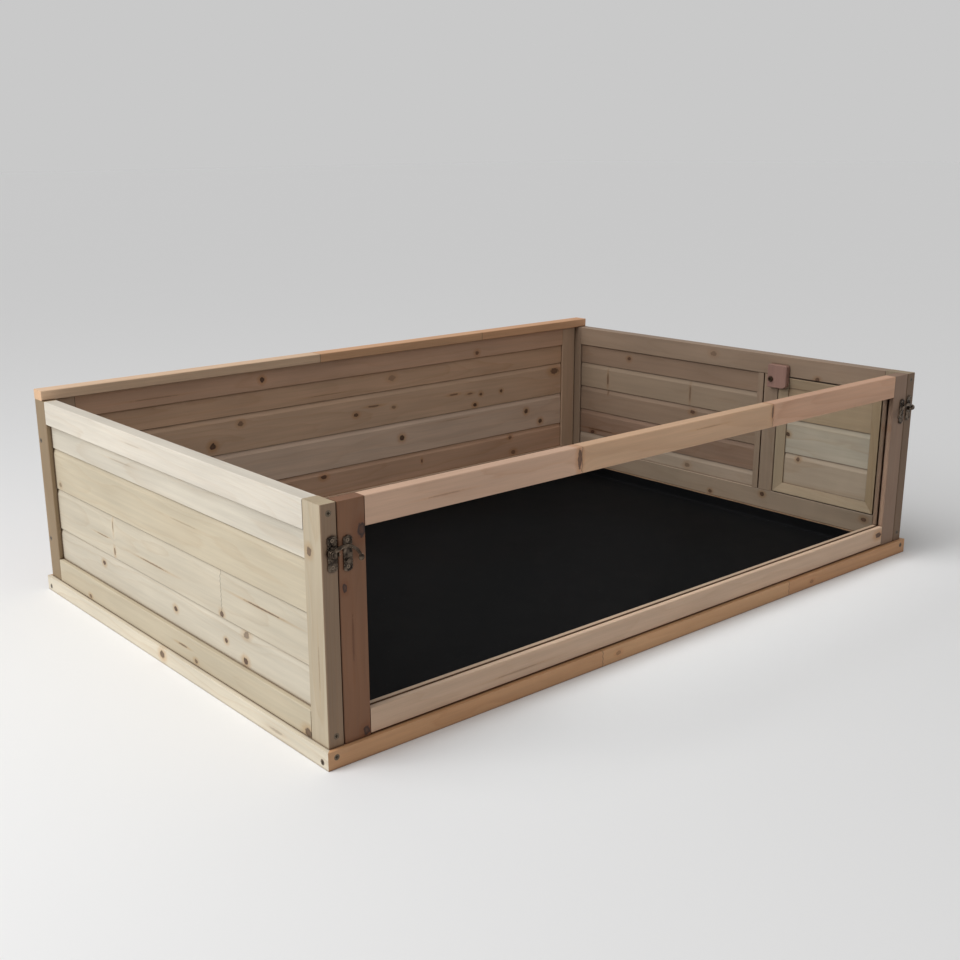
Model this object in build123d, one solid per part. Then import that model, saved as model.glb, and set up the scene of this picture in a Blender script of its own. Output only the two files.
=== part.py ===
from build123d import *
import os
from math import sqrt

# Guinea pig cage of planed battens and boards: a base ring, three boarded walls, a clear front
# that lifts out behind two swing latches, and a small side door with a turn button.
# Millimetres, +Z up, +X along the length, the clear front faces -Y.
# The origin is on the floor, under the middle of the base ring.

# Base ring
base_length = 1200.0
base_width = 800.0
base_height = 23.0
base_batten = 28.0
ledge = 6.0

# Walls
wall_height = 290.0
side_wall_thickness = 21.0
back_wall_thickness = 18.0
stile_width = 36.0
rail_width = 36.0
edge_ease = 1.0
cap_height = 15.5
cap_depth = 28.0

# Boards: the first and last show these heights, and the ones between share the rest
board_thickness = 10.0
side_board_recess = 7.5
back_board_recess = 4.5
board_count = 4
first_board_height = 37.0
last_board_height = 51.0
right_board_count = 5
right_last_board_height = 31.0
board_bevel_height = 9.0
board_bevel_depth = 2.5
tongue_thickness = 3.0
tongue_height = 5.0
board_gap = 0.6
board_insert = 6.0
groove_depth = 7.0
groove_clearance = 0.2

# Side door and its bay in the right wall
hinge_stile_width = 42.0
mullion_width = 30.0
door_width = 207.0
door_gap = 2.0
door_strip_width = 18.0
door_slope_start = 1.5
door_slope_drop = 4.0
door_board_recess = 5.8
door_board_count = 3
door_first_board_height = 57.0
door_last_board_height = 58.0
bead_width = 12.0
bead_gap = 2.0

# Turn button, placed from its pivot
button_width = 40.0
button_height = 42.0
button_thickness = 10.0
button_front_corner = 9.0
button_corner = 3.5
button_ease = 0.8
button_pivot_from_rear = 8.0
button_pivot_from_bottom = 15.5
button_pivot_from_door = 9.0
button_pivot_below_rail = 6.0
button_clearance = 0.4
button_screw_radius = 2.2
button_screw_head_radius = 4.5
button_screw_head_height = 2.4
button_screw_cover = 5.0

# Door hinges
hinge_leaf_width = 11.0
hinge_leaf_height = 38.0
hinge_leaf_thickness = 1.2
hinge_inset = 34.0
hinge_screw_spacing = 24.0
hinge_pin_radius = 1.2
knuckle_radius = 2.4
knuckle_gap = 0.3
pin_head_height = 0.8
running_clearance = 0.05

# Clear front
front_thickness = 19.0
front_stile_width = 37.0
front_top_rail_width = 35.0
front_bottom_rail_width = 33.0
front_side_gap = 1.2
front_stand_off = 0.3
front_rail_shadow_gap = 1.5
tenon_length = 12.0
tenon_thickness = 6.0
tenon_shoulder = 9.0
tenon_clearance = 0.1
panel_thickness = 3.0
panel_groove_depth = 6.0
panel_insert = 5.5
panel_clearance = 0.15
dowel_radius = 4.0
dowel_rise = 10.0
dowel_sink = 12.0
dowel_fit = 0.05
dowel_clearance = 0.3
dowel_from_end = 160.0

# Latches, placed from the outer edge of the side wall and from its top
latch_inset = 7.0
latch_drop = 58.0
latch_plate_height = 40.0
latch_plate_thickness = 1.2
latch_plate_corner = 3.0
latch_plate_margin = 0.4
plate_bite_radius = 4.0
plate_bite_depth = 1.5
plate_bite_level = 9.5
latch_pivot_inset = 4.0
latch_pivot_rise = 1.6
latch_boss_height = 3.1
latch_play = 0.3
latch_pin_radius = 2.0
latch_head_radius = 3.6
latch_head_height = 1.2
latch_eye_radius = 5.0
latch_arm_width = 5.0
latch_arm_thickness = 3.0
latch_arm_bend = 25.5
latch_arm_fall = 11.0
latch_knob_radius = 3.4
latch_stop_gap = 2.0
latch_stop_width = 1.6
latch_stop_height = 4.0
latch_stop_clearance = 0.3
latch_screw_spacing = 31.0
strike_inset = 5.8
strike_width = 12.0
strike_drop = 61.0
strike_boss_radius = 3.4
strike_boss_drop = 8.5
strike_clearance = 0.6
latch_tip_reach = 8.6

# Screws
screw_radius = 2.0
screw_head_radius = 3.75
screw_point_cover = 2.0
small_screw_length = 12.0
small_screw_radius = 1.2
small_screw_head_radius = 2.3
screw_tip_share = 0.1
screw_hole_clearance = 0.1
recess_reach_share = 0.6
recess_width_share = 0.22
recess_depth_share = 0.3
base_screw_inset = 12.0
base_front_screw_height = 14.5
base_side_screw_height = 7.5
rail_screw_top_inset = 11.0
rail_screw_bottom_inset = 14.0
corner_screw_inset = 65.0
ground_screw_inset = 90.0
ground_screws_per_wall = 3

# Floor liner
liner_thickness = 1.2
liner_gap = 0.5
liner_edge_height = 21.0

# Sizes that follow from the ones above
wall_x = base_length / 2 - ledge
wall_y = base_width / 2 - ledge
wall_top = base_height + wall_height
side_wall_run = 2 * wall_y
inner_x = wall_x - side_wall_thickness
back_wall_run = 2 * inner_x
side_wall_middle = wall_x - side_wall_thickness / 2
back_wall_middle = wall_y - back_wall_thickness / 2
opening_low = rail_width
opening_high = wall_height - rail_width
mullion_end = side_wall_run - hinge_stile_width - door_width - 2 * door_gap
mullion_start = mullion_end - mullion_width
door_height = opening_high - opening_low - 2 * door_gap
frame_cover = groove_depth + screw_point_cover
screw_length = min(side_wall_thickness + stile_width, base_height + rail_width) - frame_cover
hinge_across = wall_x + knuckle_radius + knuckle_gap
hinge_along = -wall_y + hinge_stile_width + door_gap / 2
hinge_levels = (
    base_height + opening_low + door_gap + hinge_inset,
    base_height + opening_high - door_gap - hinge_inset,
)
latch_stop_start = latch_pivot_inset + latch_eye_radius + latch_stop_gap
latch_plate_width = latch_stop_start + latch_stop_width + latch_plate_margin
latch_plate_middle = (latch_inset + latch_plate_width / 2, wall_top - latch_drop)
latch_pivot = (latch_inset + latch_pivot_inset, latch_plate_middle[1] + latch_pivot_rise)
strike_start = side_wall_thickness + front_side_gap + strike_inset
strike_middle = (strike_start + strike_width / 2, wall_top - strike_drop)
latch_tip = (strike_start + strike_width + latch_tip_reach, latch_pivot[1] - latch_arm_fall)
latch_arm_low = latch_plate_thickness + latch_boss_height + latch_play
latch_arm_high = latch_arm_low + latch_arm_thickness

# Each wall is drawn in its own plane: local x along the wall, local y up, local z inwards
left_wall_plane = Plane(origin=(-wall_x, -wall_y, base_height), x_dir=(0, 1, 0), z_dir=(1, 0, 0))
right_wall_plane = Plane(origin=(wall_x, wall_y, base_height), x_dir=(0, -1, 0), z_dir=(-1, 0, 0))
back_wall_plane = Plane(origin=(-inner_x, wall_y, base_height), x_dir=(1, 0, 0), z_dir=(0, -1, 0))
front_plane = Plane(origin=(inner_x, -wall_y, base_height), x_dir=(-1, 0, 0), z_dir=(0, 1, 0))

# The left latch is drawn from the wall's outer edge and the floor, with local z outwards
latch_plane = Plane(origin=(-wall_x, -wall_y, 0), x_dir=(1, 0, 0), z_dir=(0, -1, 0))


def block(u, v, w):
    """A box given by its start and end along each direction."""
    sizes = [end - start for start, end in (u, v, w)]
    middles = [(start + end) / 2 for start, end in (u, v, w)]
    return Pos(*middles) * Box(*sizes)


def batten(u, v, w, along):
    """A planed batten: a box with its long edges eased."""
    solid = block(u, v, w)
    return chamfer(solid.edges().filter_by(along), edge_ease)


def prism(points, along):
    """A solid with its outline in local y and z, running along local x."""
    start, end = along
    outline = make_face(Polyline(*points, close=True))
    return extrude(Plane.YZ.offset(start) * outline, amount=end - start)


def disc(centre, radius, heights):
    """A round boss on local z."""
    low, high = heights
    boss = Cylinder(radius, high - low, align=(Align.CENTER, Align.CENTER, Align.MIN))
    return Pos(*centre, low) * boss


def mitred_strip(length, width, depth):
    """A strip along local x from the origin, with both ends mitred towards local +y."""
    corners = ((0, 0), (length, 0), (length - width, width), (width, width))
    return extrude(make_face(Polyline(*corners, close=True)), amount=depth)


def ring_places(length, height):
    """Where the four strips of a mitred ring start, and how far each is turned."""
    return (
        Location((0, 0, 0)),
        Location((length, 0, 0), (0, 0, 90)),
        Location((length, height, 0), (0, 0, 180)),
        Location((0, height, 0), (0, 0, 270)),
    )


def base_ring():
    """Four mitred battens lying flat."""
    corner = Location((-base_length / 2, -base_width / 2, 0))
    names = ("base_front_batten", "base_right_batten", "base_rear_batten", "base_left_batten")
    lengths = (base_length, base_width, base_length, base_width)
    places = ring_places(base_length, base_width)
    return {
        name: corner * place * mitred_strip(length, base_batten, base_height)
        for name, length, place in zip(names, lengths, places)
    }


def floor_liner():
    """A flexible floor sheet with its edges turned up inside the ring."""
    half_x = base_length / 2 - base_batten - liner_gap
    half_y = base_width / 2 - base_batten - liner_gap
    hollow_x = half_x - liner_thickness
    hollow_y = half_y - liner_thickness
    tray = block((-half_x, half_x), (-half_y, half_y), (0, liner_edge_height))
    hollow_depth = (liner_thickness, liner_edge_height)
    return tray - block((-hollow_x, hollow_x), (-hollow_y, hollow_y), hollow_depth)


def board_pocket(u, v, w):
    """The room that boards take in the pieces around their opening."""
    return block(
        (u[0] - groove_depth, u[1] + groove_depth),
        (v[0] - groove_depth, v[1] + groove_depth),
        (w[0] - groove_clearance, w[1] + groove_clearance),
    )


def board(u, v, w, has_groove, has_tongue):
    """One board: bevelled and tongued along its top, grooved along its bottom."""
    low, high = v
    outer, inner = w
    middle = (outer + inner) / 2
    tongue = tongue_thickness / 2
    slot = tongue + groove_clearance
    points = [(low, outer)]
    if has_groove:
        slot_top = low + tongue_height + board_gap
        points += [(low, middle - slot), (slot_top, middle - slot)]
        points += [(slot_top, middle + slot), (low, middle + slot)]
    points += [(low, inner)]
    if has_tongue:
        points += [(high - board_bevel_height, inner), (high, inner - board_bevel_depth)]
        points += [(high, middle + tongue), (high + tongue_height, middle + tongue)]
        points += [(high + tongue_height, middle - tongue), (high, middle - tongue)]
        points += [(high, outer + board_bevel_depth), (high - board_bevel_height, outer)]
    else:
        points += [(high, inner), (high, outer)]
    return prism(points, (u[0] - board_insert, u[1] + board_insert))


def siding(name, u, v, w, count, first_height, last_height):
    """The boards that fill an opening, numbered from the top one down."""
    low, high = v
    pitch = (high - low - first_height - last_height) / max(count - 2, 1)
    joints = [high - first_height - number * pitch for number in range(count - 1)]
    tops = [high + board_insert] + [joint - board_gap for joint in joints]
    bottoms = joints + [low - board_insert]
    return {
        f"{name}_{number}": board(u, (bottom, top), w, number < len(tops), number > 1)
        for number, (bottom, top) in enumerate(zip(bottoms, tops), start=1)
    }


def wall_frame(run, thickness, first_stile, last_stile):
    """Two stiles with two rails between them."""
    depth = (0, thickness)
    between = (first_stile, run - last_stile)
    return {
        "first_stile": batten((0, first_stile), (0, wall_height), depth, Axis.Y),
        "last_stile": batten((run - last_stile, run), (0, wall_height), depth, Axis.Y),
        "top_rail": batten(between, (opening_high, wall_height), depth, Axis.X),
        "bottom_rail": batten(between, (0, opening_low), depth, Axis.X),
    }


def boarded_wall(side, plane, run, thickness, recess, stile_names):
    """A framed wall with one field of boards."""
    frame = wall_frame(run, thickness, stile_width, stile_width)
    opening = (stile_width, run - stile_width)
    heights = (opening_low, opening_high)
    depth = (recess, recess + board_thickness)
    pocket = board_pocket(opening, heights, depth)
    names = (*stile_names, "top_rail", "bottom_rail")
    pieces = {f"{side}_{name}": piece - pocket for name, piece in zip(names, frame.values())}
    heights_shown = (first_board_height, last_board_height)
    pieces |= siding(f"{side}_board", opening, heights, depth, board_count, *heights_shown)
    return {name: plane * piece for name, piece in pieces.items()}


def right_wall():
    """The wall with the door bay. Its plane runs from the rear corner to the front one."""
    run = side_wall_run
    frame = wall_frame(run, side_wall_thickness, stile_width, hinge_stile_width)
    heights = (opening_low, opening_high)
    opening = (stile_width, mullion_start)
    depth = (side_board_recess, side_board_recess + board_thickness)
    pocket = board_pocket(opening, heights, depth)
    mullion_depth = (0, side_wall_thickness)
    mullion = batten((mullion_start, mullion_end), heights, mullion_depth, Axis.Y)
    bead_end = mullion_start - bead_gap
    bead_depth = (depth[1], side_wall_thickness)
    pieces = {
        "right_rear_stile": frame["first_stile"] - pocket,
        "right_front_stile": frame["last_stile"],
        "right_top_rail": frame["top_rail"] - pocket,
        "right_bottom_rail": frame["bottom_rail"] - pocket,
        "right_mullion": mullion - pocket,
        "right_bead": block((bead_end - bead_width, bead_end), heights, bead_depth),
    }
    heights_shown = (first_board_height, right_last_board_height)
    pieces |= siding("right_board", opening, heights, depth, right_board_count, *heights_shown)
    return {name: right_wall_plane * piece for name, piece in pieces.items()}


def door_strip(length):
    """One strip of the door, its inner face sloping towards the boards."""
    face = side_wall_thickness
    valley = face - door_slope_drop
    past = 2 * door_strip_width
    above = face + door_slope_drop
    slope = ((door_slope_start, face), (door_strip_width, valley), (past, valley))
    slope += ((past, above), (door_slope_start, above))
    return mitred_strip(length, door_strip_width, face) - prism(slope, (0, length))


def side_door():
    """Mitred strips round a field of boards, as thick as the wall and flush with it."""
    corner = Location((mullion_end + door_gap, opening_low + door_gap, 0))
    inner_face = side_wall_thickness - door_board_recess
    depth = (inner_face - board_thickness, inner_face)
    opening = (door_strip_width, door_width - door_strip_width)
    heights = (door_strip_width, door_height - door_strip_width)
    pocket = board_pocket(opening, heights, depth)
    names = ("door_bottom_strip", "door_front_strip", "door_top_strip", "door_rear_strip")
    lengths = (door_width, door_height, door_width, door_height)
    places = ring_places(door_width, door_height)
    pieces = {
        name: place * door_strip(length) - pocket
        for name, length, place in zip(names, lengths, places)
    }
    heights_shown = (door_first_board_height, door_last_board_height)
    pieces |= siding("door_board", opening, heights, depth, door_board_count, *heights_shown)
    return {name: right_wall_plane * corner * piece for name, piece in pieces.items()}


def back_cap():
    """The batten that lies on the back wall and laps over the ends of the side walls."""
    depth = (wall_y - cap_depth, wall_y)
    return batten((-wall_x, wall_x), depth, (wall_top, wall_top + cap_height), Axis.X)


def button_centre():
    """The pivot of the turn button, in the plane of the right wall."""
    return mullion_end - button_pivot_from_door, opening_high - button_pivot_below_rail


def turn_button():
    """The wooden button that turns on the mullion and stops the door from inside."""
    along, level = button_centre()
    rear = along - button_pivot_from_rear
    low = level - button_pivot_from_bottom
    middle = (rear + button_width / 2, low + button_height / 2)
    outline = Pos(*middle) * Rectangle(button_width, button_height)
    front_corner = Vector(rear + button_width, low)
    others = outline.vertices().sort_by_distance(front_corner)[1:]
    outline = fillet(others, button_corner)
    nearest = outline.vertices().sort_by_distance(front_corner)[0]
    outline = fillet(nearest, button_front_corner)
    button = extrude(outline, amount=button_thickness)
    button = chamfer(button.faces().sort_by(Axis.Z)[-1].edges(), button_ease)
    bore_radius = button_screw_radius + running_clearance
    button -= disc((along, level), bore_radius, (0, button_thickness))
    return right_wall_plane * Pos(0, 0, side_wall_thickness + button_clearance) * button


def turn_button_screw():
    """The screw that the button turns on, driven into the mullion."""
    centre = button_centre()
    seat = side_wall_thickness + 2 * button_clearance + button_thickness
    top = seat + button_screw_head_height
    screw = disc(centre, button_screw_radius, (button_screw_cover, seat))
    screw += disc(centre, button_screw_head_radius, (seat, top))
    screw -= Pos(*centre, top) * cross_recess(button_screw_head_radius)
    return right_wall_plane * screw


def turn_button_hole():
    """The hole for that screw in the mullion."""
    radius = button_screw_radius + screw_hole_clearance
    depth = (button_screw_cover - screw_hole_clearance, side_wall_thickness)
    return right_wall_plane * disc(button_centre(), radius, depth)


def hinge_tube(radius, heights):
    """A round length standing on the hinge line."""
    return disc((hinge_across, hinge_along), radius, heights)


def hinge_leaf(side, heights, knuckles):
    """A leaf on the outer face with its knuckles: side -1 is the stile, side 1 the door."""
    reach = knuckle_radius + knuckle_gap
    inner, outer = (hinge_along + side * part for part in (knuckle_gap, hinge_leaf_width))
    thickness = (wall_x, wall_x + hinge_leaf_thickness)
    leaf = block(thickness, sorted((inner, outer)), heights)
    leaf -= block(thickness, (hinge_along - reach, hinge_along + reach), heights)
    for knuckle in knuckles:
        leaf += block(thickness, sorted((inner, hinge_along + side * reach)), knuckle)
        leaf += hinge_tube(knuckle_radius, knuckle)
    return leaf - hinge_tube(hinge_pin_radius + running_clearance, heights)


def hinge_sets():
    """Two butt hinges on the outer face: leaves on the stile, leaves on the door, and pins."""
    wall_leaves, door_leaves, pins = [], [], []
    third = hinge_leaf_height / 3
    for level in hinge_levels:
        low, high = level - hinge_leaf_height / 2, level + hinge_leaf_height / 2
        wall_knuckles = ((low, low + third), (high - third, high))
        door_knuckle = (low + third + knuckle_gap, high - third - knuckle_gap)
        wall_leaves.append(hinge_leaf(-1, (low, high), wall_knuckles))
        door_leaves.append(hinge_leaf(1, (low, high), (door_knuckle,)))
        pin = hinge_tube(hinge_pin_radius, (low, high))
        pin += hinge_tube(knuckle_radius, (low - pin_head_height, low))
        pin += hinge_tube(knuckle_radius, (high, high + pin_head_height))
        pins.append(pin)
    return wall_leaves, door_leaves, pins


def tenon(u, v, clearance):
    """A stub tenon, or with a clearance the mortise for it."""
    middle = front_thickness / 2
    half = tenon_thickness / 2 + clearance
    return block(
        (u[0] - clearance, u[1] + clearance),
        (v[0] + tenon_shoulder - clearance, v[1] - tenon_shoulder + clearance),
        (middle - half, middle + half),
    )


def clear_front():
    """The framed clear sheet that stands between the side walls."""
    depth = (0, front_thickness)
    low, high = front_stand_off, wall_height
    start, end = front_side_gap, back_wall_run - front_side_gap
    opening = (start + front_stile_width, end - front_stile_width)
    heights = (low + front_bottom_rail_width, high - front_top_rail_width)
    rails = {
        "front_top_rail": (heights[1], high),
        "front_bottom_rail": (low + front_rail_shadow_gap, heights[0]),
    }
    stiles = {
        "front_right_stile": batten((start, opening[0]), (low, high), depth, Axis.Y),
        "front_left_stile": batten((opening[1], end), (low, high), depth, Axis.Y),
    }
    tenon_run = (opening[0] - tenon_length, opening[1] + tenon_length)
    pieces = {}
    for name, rail_heights in rails.items():
        rail = batten(opening, rail_heights, depth, Axis.X)
        pieces[name] = rail + tenon(tenon_run, rail_heights, 0)
        mortise = tenon(tenon_run, rail_heights, tenon_clearance)
        stiles = {key: stile - mortise for key, stile in stiles.items()}
    pieces |= stiles
    middle = front_thickness / 2
    pieces = {
        name: piece - clear_sheet(opening, heights, panel_groove_depth, panel_clearance)
        for name, piece in pieces.items()
    }
    hole_heights = (0, dowel_rise + dowel_clearance)
    for along in dowel_places():
        hole = standing_peg(along, middle, dowel_radius + dowel_clearance, hole_heights)
        pieces["front_bottom_rail"] -= hole
    pieces["clear_panel"] = clear_sheet(opening, heights, panel_insert, 0)
    return {name: front_plane * piece for name, piece in pieces.items()}


def clear_sheet(opening, heights, insert, clearance):
    """The clear sheet, or with a clearance the groove for it."""
    middle = front_thickness / 2
    half = panel_thickness / 2 + clearance
    return block(
        (opening[0] - insert, opening[1] + insert),
        (heights[0] - insert, heights[1] + insert),
        (middle - half, middle + half),
    )


def dowel_places():
    """Where the two dowels stand along the front."""
    return dowel_from_end, back_wall_run - dowel_from_end


def standing_peg(along, through, radius, heights):
    """A round peg that stands upright in the plane of the front."""
    low, high = heights
    peg = Cylinder(radius, high - low, align=(Align.CENTER, Align.CENTER, Align.MIN))
    return Location((along, low, through), (-90, 0, 0)) * peg


def front_dowels(fit):
    """Pegs standing in the base that the front drops over, or with a fit their sockets."""
    heights = (-dowel_sink - fit, dowel_rise)
    middle = front_thickness / 2
    pegs = [standing_peg(along, middle, dowel_radius + fit, heights) for along in dowel_places()]
    return [front_plane * peg for peg in pegs]


def waisted_plate(width):
    """A plate centred on the origin, with rounded corners and four bites in its long edges."""
    outline = RectangleRounded(width, latch_plate_height, latch_plate_corner)
    bite_across = width / 2 + plate_bite_radius - plate_bite_depth
    for across in (-bite_across, bite_across):
        for level in (-plate_bite_level, plate_bite_level):
            outline -= Pos(across, level) * Circle(plate_bite_radius)
    return extrude(outline, amount=latch_plate_thickness)


def latch_arc():
    """The middle line of the arm: its circle's centre and its highest point."""
    pivot, tip = Vector(*latch_pivot), Vector(*latch_tip)
    chord = tip - pivot
    upwards = Vector(-chord.Y, chord.X).normalized()
    centre = (pivot + tip) / 2 - upwards * sqrt(latch_arm_bend**2 - (chord.length / 2) ** 2)
    return centre, centre + upwards * latch_arm_bend


def latch_plate():
    """The pivot plate with its boss, pin and head, and the stop that the arm rests on."""
    head_low = latch_arm_high + latch_play
    plate = Pos(*latch_plate_middle) * waisted_plate(latch_plate_width)
    plate += disc(latch_pivot, latch_eye_radius, (0, latch_arm_low - latch_play))
    plate += disc(latch_pivot, latch_pin_radius, (0, head_low))
    plate += disc(latch_pivot, latch_head_radius, (head_low, head_low + latch_head_height))
    centre = latch_arc()[0]
    stop_left = latch_inset + latch_stop_start
    arm_edge = latch_arm_bend - latch_arm_width / 2
    arm_underside = centre.Y + sqrt(arm_edge**2 - (stop_left - centre.X) ** 2)
    stop_top = arm_underside - latch_stop_clearance
    stop_heights = (stop_top - latch_stop_height, stop_top)
    plate += block((stop_left, stop_left + latch_stop_width), stop_heights, (0, latch_arm_high))
    return latch_plane * plate


def latch_arm():
    """The curved arm that lies across the strike."""
    crown = latch_arc()[1]
    spine = ThreePointArc(latch_pivot, crown, latch_tip)
    outline = SlotArc(spine, latch_arm_width)
    outline += Pos(*latch_pivot) * Circle(latch_eye_radius)
    outline += Pos(*latch_tip) * Circle(latch_knob_radius)
    outline -= Pos(*latch_pivot) * Circle(latch_pin_radius + running_clearance)
    return latch_plane * Pos(0, 0, latch_arm_low) * extrude(outline, amount=latch_arm_thickness)


def latch_strike():
    """The plate on the front that the arm lies across, with its catch."""
    catch = (strike_middle[0], strike_middle[1] - strike_boss_drop)
    strike = Pos(*strike_middle) * waisted_plate(strike_width)
    strike += disc(catch, strike_boss_radius, (0, latch_arm_low - strike_clearance))
    return latch_plane * strike


def both_ends(shape):
    """A shape at the left end and its mirror image at the right end."""
    return shape, mirror(shape, about=Plane.YZ)


def cross_recess(head_radius):
    """The crossed slot cut down into a screw head."""
    reach = head_radius * recess_reach_share
    half = head_radius * recess_width_share / 2
    slot = block((-reach, reach), (-half, half), (-head_radius * recess_depth_share, 0))
    return slot + Rot(0, 0, 90) * slot


def countersunk(length, radius, head_radius):
    """A countersunk shape that points down from the origin."""
    tip = length * (1 - screw_tip_share)
    points = ((0, 0), (head_radius, 0), (radius, radius - head_radius), (radius, -tip))
    outline = make_face(Plane.XZ * Polyline(*points, (0, -length), close=True))
    return revolve(outline, Axis.Z)


def screw_and_hole(length, radius, head_radius):
    """A countersunk screw and the hole that takes it."""
    screw = countersunk(length, radius, head_radius) - cross_recess(head_radius)
    spare = screw_hole_clearance
    return screw, countersunk(length + spare, radius + spare, head_radius + spare)


def outward(point, direction):
    """The place of a screw head at a point of a surface that faces a direction."""
    return Plane(point, z_dir=direction).location


def frame_screw_places():
    """The screws of the base's corners and of the walls' corners."""
    places = []
    rail_levels = (base_height + rail_screw_bottom_inset, wall_top - rail_screw_top_inset)
    corner_levels = (base_height + corner_screw_inset, wall_top - corner_screw_inset)
    for side in (-1, 1):
        for end in (-1, 1):
            across = side * (base_length / 2 - base_screw_inset)
            along = end * (base_width / 2 - base_screw_inset)
            edge = (across, end * base_width / 2, base_front_screw_height)
            flank = (side * base_length / 2, along, base_side_screw_height)
            places.append(outward(edge, (0, end, 0)))
            places.append(outward(flank, (side, 0, 0)))
            for level in rail_levels:
                places.append(outward((side * side_wall_middle, end * wall_y, level), (0, end, 0)))
        for level in rail_levels:
            places.append(outward((side * inner_x, back_wall_middle, level), (side, 0, 0)))
        for level in corner_levels:
            places.append(outward((side * wall_x, back_wall_middle, level), (side, 0, 0)))
    return places


def ground_screw_places():
    """The screws from below that hold the three fixed walls to the base ring."""
    places = []
    for number in range(ground_screws_per_wall):
        share = 2 * number / (ground_screws_per_wall - 1) - 1
        along = share * (wall_y - ground_screw_inset)
        across = share * (inner_x - ground_screw_inset)
        for side in (-1, 1):
            places.append(outward((side * side_wall_middle, along, 0), (0, 0, -1)))
        places.append(outward((across, back_wall_middle, 0), (0, 0, -1)))
    return places


def latch_screw_places(middle):
    """The screws of the plates at both ends of the front."""
    across, level = middle
    half = latch_screw_spacing / 2
    surface = -wall_y - latch_plate_thickness
    return [
        outward((side * (wall_x - across), surface, level + rise), (0, -1, 0))
        for side in (-1, 1)
        for rise in (-half, half)
    ]


def hinge_screw_places(side):
    """The screws of the hinge leaves: side -1 is the stile, side 1 the door."""
    half = hinge_screw_spacing / 2
    along = hinge_along + side * (knuckle_radius + hinge_leaf_width) / 2
    surface = wall_x + hinge_leaf_thickness
    return [
        outward((surface, along, level + rise), (1, 0, 0))
        for level in hinge_levels
        for rise in (-half, half)
    ]


def drill(piece, holes):
    """Cuts the holes whose bounding box meets the piece's."""
    box = piece.bounding_box()
    for hole in holes:
        reach = hole.bounding_box()
        meets = all(
            getattr(reach.max, axis) > getattr(box.min, axis)
            and getattr(reach.min, axis) < getattr(box.max, axis)
            for axis in "XYZ"
        )
        if meets:
            piece = piece - hole
    return piece


long_screw, long_hole = screw_and_hole(screw_length, screw_radius, screw_head_radius)
small_screw, small_hole = screw_and_hole(
    small_screw_length, small_screw_radius, small_screw_head_radius
)
long_places = frame_screw_places() + ground_screw_places()
small_places = {
    "small_screws_wall": latch_screw_places(latch_plate_middle) + hinge_screw_places(-1),
    "small_screws_front": latch_screw_places(strike_middle),
    "small_screws_door": hinge_screw_places(1),
}
holes = [place * long_hole for place in long_places]
for places in small_places.values():
    holes += [place * small_hole for place in places]
holes += [turn_button_hole(), *front_dowels(dowel_fit)]

pieces = base_ring()
pieces |= boarded_wall(
    "left",
    left_wall_plane,
    side_wall_run,
    side_wall_thickness,
    side_board_recess,
    ("front_stile", "rear_stile"),
)
pieces |= boarded_wall(
    "back",
    back_wall_plane,
    back_wall_run,
    back_wall_thickness,
    back_board_recess,
    ("left_stile", "right_stile"),
)
pieces |= right_wall()
pieces |= side_door()
pieces |= clear_front()
wall_leaves, door_leaves, hinge_pins = hinge_sets()
pieces["back_cap"] = back_cap()
pieces["latch_plates"] = Compound(both_ends(latch_plate()))
pieces["latch_strikes"] = Compound(both_ends(latch_strike()))
pieces["hinge_wall_leaves"] = Compound(wall_leaves)
pieces["hinge_door_leaves"] = Compound(door_leaves)
pieces = {name: drill(piece, holes) for name, piece in pieces.items()}

left_arm, right_arm = both_ends(latch_arm())
pieces |= {
    "floor_liner": floor_liner(),
    "turn_button": turn_button(),
    "turn_button_screw": turn_button_screw(),
    "left_latch_arm": left_arm,
    "right_latch_arm": right_arm,
    "hinge_pins": Compound(hinge_pins),
    "front_dowels": Compound(front_dowels(0)),
    "frame_screws": Compound([place * long_screw for place in long_places]),
}
for name, places in small_places.items():
    pieces[name] = Compound([place * small_screw for place in places])

os.makedirs("parts", exist_ok=True)
for name, piece in pieces.items():
    export_step(piece, f"parts/{name}.step")
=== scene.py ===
import math
import random

import bmesh
import bpy
from mathutils import Matrix, Vector, noise


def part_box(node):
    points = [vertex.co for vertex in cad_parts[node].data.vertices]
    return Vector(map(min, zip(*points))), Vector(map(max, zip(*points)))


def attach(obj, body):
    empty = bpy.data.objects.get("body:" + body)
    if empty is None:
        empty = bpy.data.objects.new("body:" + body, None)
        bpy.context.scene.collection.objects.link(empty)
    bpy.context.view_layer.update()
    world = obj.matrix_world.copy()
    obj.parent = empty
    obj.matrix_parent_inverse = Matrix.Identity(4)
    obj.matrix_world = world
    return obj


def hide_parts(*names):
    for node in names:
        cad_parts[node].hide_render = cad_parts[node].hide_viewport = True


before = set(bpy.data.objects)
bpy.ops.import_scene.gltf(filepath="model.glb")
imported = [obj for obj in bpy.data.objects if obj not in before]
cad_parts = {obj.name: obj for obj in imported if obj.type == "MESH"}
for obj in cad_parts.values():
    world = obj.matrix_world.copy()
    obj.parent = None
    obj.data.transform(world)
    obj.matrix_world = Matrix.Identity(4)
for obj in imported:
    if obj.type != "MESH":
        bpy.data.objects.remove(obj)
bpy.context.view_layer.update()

# Guinea pig cage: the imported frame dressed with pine, brass, dark bronze and a dark floor liner.
# Places are millimetres in the row frame and are turned to metres where Blender needs them.
MM = 0.001
AXES = "xyz"

# Camera, placed and turned as the photograph's was found to be
CAMERA_PLACE = Vector((-1.29306, -1.45801, 0.68206))
CAMERA_YAW = math.radians(39.3378)
CAMERA_PITCH = math.radians(15.9142)
CAMERA_ROLL = math.radians(-0.6065)
CAMERA_SENSOR = 36.0
CAMERA_LENS = 46.094
CAMERA_SHIFT = (0.03718, 0.01774)

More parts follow.
